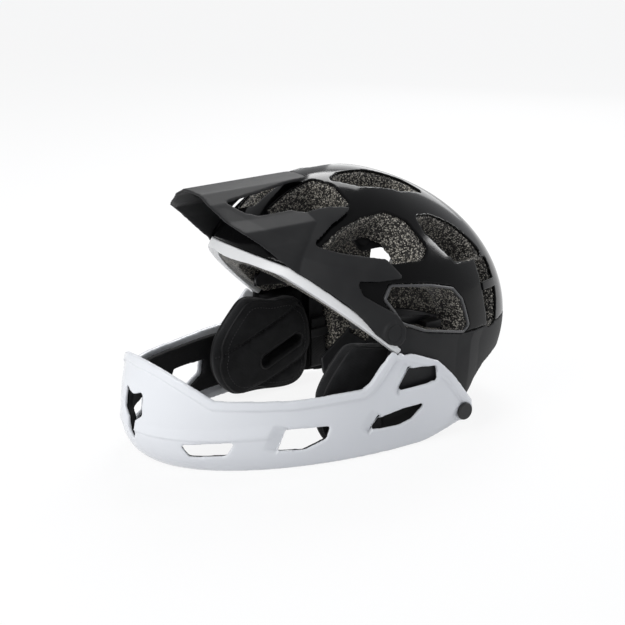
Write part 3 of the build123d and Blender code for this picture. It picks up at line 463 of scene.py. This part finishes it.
# The black foam parts: a lining cut from soft sheet that lies against the guard's wall, and the two
# firm cores that carry the cheek pads against the liner.
black_foam = Finish("black soft foam", Base_Color=(0.007, 0.007, 0.0075, 1), Specular_IOR_Level=0.2)
where = black_foam.place()
cells = black_foam.cells(where, scale=1.4)
black_foam.wire("Roughness", cells.between(0.75, 0.95))
black_foam.relief(cells, 0.15 * mm)
lining = recast("guard_lining", "guard_lining_foam", voxel=1.3, smoothing=3)
dress(lining, black_foam, "helmet", ["guard_lining"])
for cheek_core in ("cheek_core_left", "cheek_core_right"):
    core = recast(cheek_core, cheek_core + "_foam", voxel=1.2, smoothing=3)
    dress(core, black_foam, "helmet", [cheek_core])


# The white trim: a soft plastic band round the face port, pushed into a step of the shell's edge and
# standing a little proud of it.
trim_stand = 0.8 * mm
trim_white = Finish("white trim", Base_Color=(0.74, 0.74, 0.73, 1), Specular_IOR_Level=0.4)
where = trim_white.place()
trim_white.wire("Roughness", trim_white.noise(where, scale=0.06, detail=2).between(0.3, 0.45))
trim_white.relief(trim_white.noise(where, scale=3.0, detail=2), 0.01 * mm)
trim = recast("face_trim", "port_trim", voxel=0.8)
settle(trim, trim_stand)
dress(trim, trim_white, "helmet", ["face_trim"])


# The vents' small parts: a satin bead pressed round each temple vent and a glossy bar across each
# nape vent.
satin_black = Finish("satin black plastic", Base_Color=(0.012, 0.012, 0.013, 1), Specular_IOR_Level=0.4)
where = satin_black.place()
satin_black.wire("Roughness", satin_black.noise(where, scale=0.3, detail=3).ramp(0.3, 0.7).between(0.3, 0.42))
satin_black.relief(satin_black.noise(where, scale=3.0, detail=2), 0.02 * mm)
bead_grey = Finish("satin grey bead", Base_Color=(0.05, 0.05, 0.052, 1), Specular_IOR_Level=0.5)
where = bead_grey.place()
bead_grey.wire("Roughness", bead_grey.noise(where, scale=0.2, detail=2).between(0.28, 0.38))
bead_grey.relief(bead_grey.noise(where, scale=2.0, detail=2), 0.015 * mm)
rims = recast("vent_rims", "temple_beads", voxel=0.55)
dress(rims, bead_grey, "helmet", ["vent_rims"])
bars = recast("nape_bridges", "nape_bars", voxel=0.5)
dress(bars, gloss_black, "helmet", ["nape_bridges"])


# The fasteners: round headed screws through the guard and the visor's arms, on plain spacers.
# Steel nuts and brass inserts hold them in the foam behind the shell.
screws = recast("guard_screws", "guard_screw_heads", voxel=0.4, smoothing=3)
dress(screws, satin_black, "helmet", ["guard_screws"])
caps = recast("visor_screws", "pivot_caps", voxel=0.4, smoothing=3)
dress(caps, matte_grey, "helmet", ["visor_screws"])

steel = Finish("brushed steel", Base_Color=(0.58, 0.58, 0.59, 1), Metallic=1.0)
where = steel.place((1, 1, 6))
brushing = steel.noise(where, scale=0.9, detail=3)
steel.wire("Roughness", brushing.ramp(0.3, 0.7).between(0.18, 0.34))
steel.relief(brushing, 0.02 * mm)
brass = Finish("turned brass", Base_Color=(0.62, 0.44, 0.18, 1), Metallic=1.0)
where = brass.place()
brass.wire("Roughness", brass.noise(where, scale=0.8, detail=3).between(0.2, 0.4))
for node, finish in (("guard_nuts", steel), ("visor_nuts", brass), ("visor_washers", satin_black)):
    paint(nodes[node], finish)


# The cushions: soft foam in a brushed black knit, sewn along piped seams. Hook discs on the liner
# and the cheek cores hold them, so each comes out for washing.
cover = Finish("black knit cover", Specular_IOR_Level=0.15, Sheen_Weight=0.12, Sheen_Roughness=0.5)
where = cover.place()
knit_scale = 0.26
wear = cover.noise(where, scale=0.07, detail=4)
cover.wire("Base Color", cover.colours(wear.ramp(0.35, 0.7), (0.006, 0.006, 0.0065), (0.014, 0.014, 0.0145)))
cover.wire("Roughness", wear.between(0.78, 0.93))
knit = cover.ribs(where, knit_scale, "Y", distortion=1.2) * cover.ribs(where, knit_scale, "Z", distortion=1.2)
cover.relief(knit * 0.7 + cover.noise(where, scale=1.6, detail=3) * 0.5, 0.16 * mm)
edging = Finish("black seam edging", Base_Color=(0.008, 0.008, 0.0085, 1), Specular_IOR_Level=0.3)
where = edging.place()
edging.wire("Roughness", edging.noise(where, scale=1.5, detail=2).between(0.5, 0.7))
edging.relief(edging.noise(where, scale=2.5, detail=2), 0.06 * mm)
thread = Finish("dark sewing thread", Base_Color=(0.03, 0.03, 0.031, 1), Specular_IOR_Level=0.3)
where = thread.place()
thread.wire("Roughness", thread.noise(where, scale=4, detail=2).between(0.5, 0.7))

sewing = bpy.data.node_groups.new("stitch rows", "GeometryNodeTree")
sewing.interface.new_socket("Lines", in_out="INPUT", socket_type="NodeSocketGeometry")
for label in ("Spacing", "Stitch length", "Thread width"):
    sewing.interface.new_socket(label, in_out="INPUT", socket_type="NodeSocketFloat")
sewing.interface.new_socket("Stitches", in_out="OUTPUT", socket_type="NodeSocketGeometry")
given = add_node(sewing, "NodeGroupInput")
seam = add_node(sewing, "GeometryNodeMeshToCurve", (), {"Mesh": given.outputs["Lines"]})
spaced = {"Curve": seam.outputs["Curve"], "Length": given.outputs["Spacing"]}
dots = add_node(sewing, "GeometryNodeCurveToPoints", {"mode": "LENGTH"}, spaced)
bead = add_node(sewing, "GeometryNodeMeshUVSphere", (), {"Segments": 6, "Rings": 5, "Radius": 0.5})
thread_width = given.outputs["Thread width"]
widths = {"X": thread_width, "Y": thread_width, "Z": given.outputs["Stitch length"]}
stretch = add_node(sewing, "ShaderNodeCombineXYZ", (), widths)
copies = {
    "Points": dots.outputs["Points"], "Instance": bead.outputs["Mesh"], "Rotation": dots.outputs["Rotation"],
    "Scale": stretch.outputs["Vector"],
}
laid = add_node(sewing, "GeometryNodeInstanceOnPoints", (), copies)
real = add_node(sewing, "GeometryNodeRealizeInstances", (), {"Geometry": laid.outputs["Instances"]})
dyed = {"Geometry": real.outputs["Geometry"], "Material": thread.material}
finished = add_node(sewing, "GeometryNodeSetMaterial", (), dyed)
add_node(sewing, "NodeGroupOutput", (), {"Stitches": finished.outputs["Geometry"]})


def sew(name, lines, body, spacing=3.0, length=2.1, width=0.7):
    """Stitches along lines of points, as one piece. Their spacing and size are in millimetres."""
    points, edges = [], []
    for line in lines:
        start = len(points)
        points += [tuple(point) for point in line]
        edges += [(index, index + 1) for index in range(start, len(points) - 1)]
    guide = bpy.data.objects.new(name + "_guide", bpy.data.meshes.new(name))
    guide.data.from_pydata(points, edges, [])
    bpy.context.scene.collection.objects.link(guide)
    rows = guide.modifiers.new("rows", "NODES")
    rows.node_group = sewing
    sizes = {"Spacing": spacing * mm, "Stitch length": length * mm, "Thread width": width * mm}
    for socket in sewing.interface.items_tree:
        if socket.name in sizes:
            rows[socket.identifier] = sizes[socket.name]
    made = plain_mesh(guide, name)
    bpy.data.objects.remove(guide)
    made.data.shade_smooth()
    dress(made, thread, body)


def piping(name, lines, radius, finish, body):
    """Round cord along closed lines of points, as one piece."""
    cord = bpy.data.curves.new(name, "CURVE")
    cord.dimensions, cord.bevel_depth, cord.bevel_resolution = "3D", radius * mm, 2
    for line in lines:
        spline = cord.splines.new("POLY")
        spline.points.add(len(line) - 1)
        for point, spot in zip(spline.points, line):
            point.co = (*spot, 1)
        spline.use_cyclic_u = True
    guide = bpy.data.objects.new(name + "_guide", cord)
    bpy.context.scene.collection.objects.link(guide)
    made = plain_mesh(guide, name)
    bpy.data.objects.remove(guide)
    made.data.shade_smooth()
    dress(made, finish, body)


def met(surface, start, way):
    """Where a ray first meets a surface, or None."""
    spot = surface.ray_cast(Vector(start), Vector(way))[0]
    return None if spot is None else np.array(spot)


def surface_of(piece):
    """A piece's faces, ready for rays."""
    faces = [tuple(face.vertices) for face in piece.data.polygons]
    return BVHTree.FromPolygons([vertex.co for vertex in piece.data.vertices], faces)


swell_pressure, swell_frames = 4.0, 20
# How squarely a face looks at what it rests on, or at the presser: none below, all above
rest_facing, press_facing, press_fall = (0.35, 0.8), (0.1, 0.6), 1.5


def swell(piece, held, cap):
    """Fills a cover like a balloon, as cloth. A point moves at most cap, and not where it is held."""
    before = points_of(piece)[0]
    cloth = piece.modifiers.new("filling", "CLOTH")
    cloth.settings.use_pressure = True
    cloth.settings.uniform_pressure_force = swell_pressure
    cloth.settings.effector_weights.gravity = 0
    cloth.point_cache.frame_start, cloth.point_cache.frame_end = 1, swell_frames
    for moment in range(1, swell_frames + 1):
        bpy.context.scene.frame_set(moment)
    blown = plain_mesh(piece, piece.name + "_blown")
    after = points_of(blown)[0]
    bpy.data.objects.remove(blown)
    piece.modifiers.remove(cloth)
    bpy.context.scene.frame_set(1)
    move = after - before
    far = np.linalg.norm(move, axis=1)
    limit = cap * np.tanh(far / cap) / np.maximum(far, 1e-9)
    move_points(piece, before + move * (limit * (1 - held))[:, None])


def cushion(node, name, voxel, rest, cap, shrink, span=None):
    """A pad's cover, drawn in by shrink, swelled by up to cap and made fine, all in millimetres.

    rest gives the way to what it lies on, where the cover stays flat.
    """
    piece = recast(node, name, voxel, smoothing=2, span=span)
    spots, ways = points_of(piece)
    held = smooth_step(*rest_facing, (ways * rest(spots)).sum(1))
    move_points(piece, spots - ways * (shrink * mm * (1 - held))[:, None])
    swell(piece, held, cap * mm)
    finer = piece.modifiers.new("finer", "SUBSURF")
    finer.levels = finer.render_levels = 1
    made = plain_mesh(piece, name)
    bpy.data.objects.remove(piece)
    made.name = name
    made.data.shade_smooth()
    return made


def towards_side(side):
    """For every point, the way out to one side."""
    return lambda spots: np.tile((float(side), 0.0, 0.0), (len(spots), 1))


def towards_shell(spots):
    """For each point, the way out to the shell."""
    return form_gap(spots, 0)[1]


def press(piece, lines, depth, half, face):
    """Draws sewn channels into the face that looks one way, along lines in the side view.

    The lines, the depth and half the width are in millimetres.
    """
    spots, ways = points_of(piece)
    facing = smooth_step(*press_facing, ways @ np.array(face))
    for line in lines:
        near = np.clip(1 - side_distance(spots, line) / (half * mm), 0, 1)
        spots -= ways * (near**press_fall * depth * mm * facing)[:, None]
    move_points(piece, spots)


# Places in the side view, in millimetres: the pad's middle, its strap slot and its two channels
pad_middle = (-8.2, 46.5)
slot_middle, slot_turn = np.array((9.8, 38.4)), radians(22)
slot_length, slot_width = 46, 10
hem_offset, hem_steps = 1.4, 72
channel_offsets, channel_half_length, channel_steps = (-19.3, 27.6), 80, 81
channel_depth, channel_half = 2.4, 6.5
slot_along = np.array((cos(slot_turn), sin(slot_turn)))
slot_across = np.array((-sin(slot_turn), cos(slot_turn)))
channels = []
for offset in channel_offsets:
    middle = slot_middle + slot_across * offset
    reaches = np.linspace(-channel_half_length, channel_half_length, channel_steps)
    channels.append([middle + slot_along * reach for reach in reaches])
hem_radius, slot_straight = slot_width / 2 + hem_offset, slot_length - slot_width
slot_ring = []
for step in np.linspace(0, 2 * pi, hem_steps, endpoint=False):
    along = np.sign(cos(step)) * slot_straight / 2 + hem_radius * cos(step)
    slot_ring.append(slot_middle + slot_along * along + slot_across * hem_radius * sin(step))

# Millimetres from the middle plane: the two piped seams, and where the channels' stitches end
seam_levels, stitch_limit = (69.5, 81.5), 74
seam_steps, seam_evenings, ray_length = 120, 4, 120
# A row of stitches follows the first seam, this far inside it
hem_row_inset = 5.2
piping_radius = 0.9


def seam_line(surface, level):
    """An even line round a cheek pad at a level from the middle plane."""
    line = []
    for step in np.linspace(0, 2 * pi, seam_steps, endpoint=False):
        way = Vector((0, cos(step), sin(step)))
        spot = met(surface, (Vector((level, *pad_middle)) + way * ray_length) * mm, -way)
        if spot is not None:
            line.append(spot)
    line = np.array(line)
    for evening in range(seam_evenings):
        line = (np.roll(line, 1, 0) + 2 * line + np.roll(line, -1, 0)) / 4
    return line


def seen_from_inside(surface, side, places):
    """Where rays from the middle plane meet a surface on one side, at places in the side view in metres."""
    spots = [met(surface, (0, *place), (side, 0, 0)) for place in places]
    return [spot for spot in spots if spot is not None]


for side, word in ((1, "left"), (-1, "right")):
    pad = cushion(
        "cheek_pad_" + word, "cheek_cushion_" + word, voxel=2.6, rest=towards_side(side), cap=3.2, shrink=1.3,
    )
    press(pad, channels, channel_depth, channel_half, face=(-side, 0, 0))
    dress(pad, cover, "helmet", ["cheek_pad_" + word])
    surface = surface_of(pad)
    seams = [seam_line(surface, side * level) for level in seam_levels]
    hem = seen_from_inside(surface, side, np.array(slot_ring) * mm)
    piping("cheek_piping_" + word, [*seams, hem], piping_radius, edging, "helmet")
    stitching = []
    for line in channels:
        spots = seen_from_inside(surface, side, np.array(line) * mm)
        stitching.append([spot for spot in spots if abs(spot[0]) < stitch_limit * mm])
    from_middle = seams[0] - np.array((side * seam_levels[0], *pad_middle)) * mm
    from_middle /= np.linalg.norm(from_middle, axis=1)[:, None]
    drawn_in = seams[0] - from_middle * hem_row_inset * mm
    spots = seen_from_inside(surface, side, drawn_in[:, 1:])
    stitching.append(spots + spots[:1])
    sew("cheek_stitches_" + word, stitching, "helmet")

# Node, the piece's name and its span across the head in metres
comfort = (
    ("brow_pad", "brow_cushion", None), ("crown_pads", "crown_cushion_middle", (-0.02, 0.02)),
    ("crown_pads", "crown_cushion_left", (0.02, 0.2)), ("crown_pads", "crown_cushion_right", (-0.2, -0.02)),
)
for node, name, span in comfort:
    pad = cushion(node, name, voxel=1.7, rest=towards_shell, cap=1.2, shrink=0.5, span=span)
    dress(pad, cover, "helmet", [node])


# The straps: black polyester webbing with rounded edges, 15 mm wide, hung from blocks in the liner.
# The left one is sewn round two D-rings, and the right one is folded back through a rubber keeper.
webbing = Finish("black strap webbing", Specular_IOR_Level=0.25)
along = webbing.node("ShaderNodeAttribute", {"attribute_name": "run"}, out="Fac")
across = webbing.node("ShaderNodeAttribute", {"attribute_name": "across"}, out="Fac")
cloth_spot = webbing.node("ShaderNodeCombineXYZ", (), {"X": along + across * 0.6, "Y": across, "Z": 0.0})
twill = webbing.ribs(cloth_spot, 0.21, "X") * 0.7 + webbing.ribs(cloth_spot, 0.3, "Y") * 0.3
wear = webbing.noise(cloth_spot, scale=0.2, detail=3)
# Painted shade and sheen: the twill's raised ribs are coloured lighter and its grooves darker, following the
# relief. The wear noise varies this at random.
twill_painted_shade_and_wear = twill * wear.ramp(0.2, 0.8)
webbing.wire("Base Color", webbing.colours(twill_painted_shade_and_wear, (0.005, 0.005, 0.0055), (0.022, 0.022, 0.023)))
webbing.wire("Roughness", wear.between(0.6, 0.75))
webbing.relief(twill, 0.22 * mm)
strap_width, strap_thickness = 15.0, 1.5
# Millimetres: how far out the webbing hangs, its middle behind the origin and its upper end
strap_line, strap_middle, strap_top = 79.05, 55.15, 90.9
section_steps, edge_power = 32, 0.35


def smooth_line(corners, step=1.0):
    """A smooth line through places in the front view, with a point about each step of it."""
    before = 2 * np.array(corners[0]) - corners[1]
    beyond = 2 * np.array(corners[-1]) - corners[-2]
    corners = np.array([before, *corners, beyond])
    line = []
    for first, start, end, last in zip(corners[:-3], corners[1:-2], corners[2:-1], corners[3:]):
        count = max(2, int(np.linalg.norm(end - start) / step))
        for share in np.arange(count) / count:
            bend = (2 * first - 5 * start + 4 * end - last) * share**2
            sway = (3 * start - first - 3 * end + last) * share**3
            line.append((2 * start + (end - first) * share + bend + sway) / 2)
    line.append(corners[-2])
    return np.array(line)


def strap(name, corners, side, replaced):
    """Webbing along a line in the front view, as wide as the strap."""
    line = smooth_line(corners)
    run = np.gradient(line, axis=0)
    run /= np.linalg.norm(run, axis=1)[:, None]
    out = np.stack((-run[:, 1], run[:, 0]), 1)
    length = np.concatenate(((0,), np.cumsum(np.linalg.norm(np.diff(line, axis=0), axis=1))))
    section = []
    for step in np.linspace(0, 2 * pi, section_steps, endpoint=False):
        flat = np.sign(cos(step)) * abs(cos(step)) ** edge_power
        thick = np.sign(sin(step)) * abs(sin(step)) ** edge_power
        section.append((flat * strap_width / 2, thick * strap_thickness / 2))
    spots, runs, breadths = [], [], []
    for centre, way, place in zip(line, out, length):
        for wide, thick in section:
            outwards, upwards = centre + way * thick
            spots.append((side * outwards, strap_middle + wide, upwards))
            runs.append(place)
            breadths.append(wide)
    count, last = len(section), (len(line) - 1) * len(section)
    faces = []
    for near in range(0, last, count):
        far = near + count
        for index in range(count):
            after = (index + 1) % count
            faces.append((near + index, near + after, far + after, far + index))
    faces.append(tuple(range(count))[::-1])
    faces.append(tuple(last + index for index in range(count)))
    made = bpy.data.objects.new(name, bpy.data.meshes.new(name))
    made.data.from_pydata([tuple(np.array(spot) * mm) for spot in spots], [], faces)
    for label, values in (("run", runs), ("across", breadths)):
        made.data.attributes.new(label, "FLOAT", "POINT").data.foreach_set("value", values)
    form = bmesh.new()
    form.from_mesh(made.data)
    bmesh.ops.recalc_face_normals(form, faces=form.faces)
    form.to_mesh(made.data)
    form.free()
    made.data.shade_smooth()
    bpy.context.scene.collection.objects.link(made)
    dress(made, webbing, "helmet", replaced)


arc_step = 30


def arc(middle, radius, turn):
    """Places round an arc that starts on the outer side and turns down and in by that many degrees."""
    steps = np.radians(np.arange(0, -turn - 1, -arc_step))
    return [(middle[0] + radius * cos(step), middle[1] + radius * sin(step)) for step in steps]


loop = arc((74.1, 25.05), 4.95, 240)
left_corners = [(strap_line, strap_top), (strap_line, 60), (strap_line, 33), *loop]
left_corners += [(75.0, 32.0), (77.1, 36.5), (77.45, 41.5), (77.45, 49)]
strap("webbing_left", left_corners, 1, ["strap_left"])
fold = arc((77.3, 14.1), 1.75, 180)
right_corners = [(strap_line, strap_top), (strap_line, 50), (strap_line, 18), *fold]
right_corners += [(75.55, 20), (75.55, 57.6)]
strap("webbing_right", right_corners, -1, ["strap_right"])

# Millimetres: the webbing's outer face, half the width of a tack, and the sewn box's two ends
tack_out, tack_half = 79.85, 5.2
tack_low, tack_high = 37.5, 47.5
anchor_tack_levels = (84, 86.5)
tack_points = 9


def tack_line(side, *places):
    """Stitch places across a strap's outer face, given as across and up."""
    spots = []
    for start, end in zip(places[:-1], places[1:]):
        for share in np.linspace(0, 1, tack_points):
            spot = np.array(start) + (np.array(end) - start) * share
            spots.append((side * tack_out * mm, (strap_middle + spot[0]) * mm, spot[1] * mm))
    return spots


box_corners = [(-tack_half, tack_low), (tack_half, tack_low), (tack_half, tack_high), (-tack_half, tack_high)]
cross_tack = [*box_corners, box_corners[0], box_corners[2]]
anchor_tacks = [((-tack_half, level), (tack_half, level)) for level in anchor_tack_levels]
tacks = [tack_line(1, *cross_tack), tack_line(1, box_corners[1], box_corners[3])]
tacks += [tack_line(side, *tack) for side in (1, -1) for tack in anchor_tacks]
sew("strap_tacks", tacks, "helmet", spacing=1.7, length=1.4, width=0.6)

rubber = Finish("black rubber", Base_Color=(0.01, 0.01, 0.0105, 1), Specular_IOR_Level=0.3)
where = rubber.place()
rubber.wire("Roughness", rubber.noise(where, scale=0.6, detail=3).between(0.5, 0.7))
rubber.relief(rubber.noise(where, scale=2.5, detail=2), 0.03 * mm)
keeper = recast("strap_keeper", "keeper_loop", voxel=0.4, smoothing=3)
dress(keeper, rubber, "helmet", ["strap_keeper"])
for node, finish in (("d_rings", steel), ("strap_anchors", satin_black), ("pad_fixings", webbing)):
    paint(nodes[node], finish)


# The cradle: a satin black nylon moulding behind the head, hung on two thin belts from anchors at
# the temples. Its fluted dial turns a pinion that draws the belts in, and two pads line it.
for node in ("belt_left", "belt_right"):
    belt = recast(node, node + "_band", voxel=0.5, smoothing=2)
    dress(belt, satin_black, "helmet", [node])
cradle = recast("nape_cradle", "cradle_frame", voxel=0.8, smoothing=4)
dress(cradle, satin_black, "cradle", ["nape_cradle"])
housing = recast("dial_housing", "dial_case", voxel=0.5)
dress(housing, satin_black, "cradle", ["dial_housing"])
knob = recast("dial_knob", "fluted_dial", voxel=0.4, smoothing=3)
dress(knob, rubber, "dial", ["dial_knob"])
for name, span in (("nape_cushion_left", (0.0, 0.1)), ("nape_cushion_right", (-0.1, 0.0))):
    pad = cushion("nape_pads", name, voxel=1.6, rest=towards_shell, cap=1.2, shrink=0.5, span=span)
    dress(pad, cover, "cradle", ["nape_pads"])
for node in ("belt_anchors", "dial_pinion"):
    paint(nodes[node], satin_black)
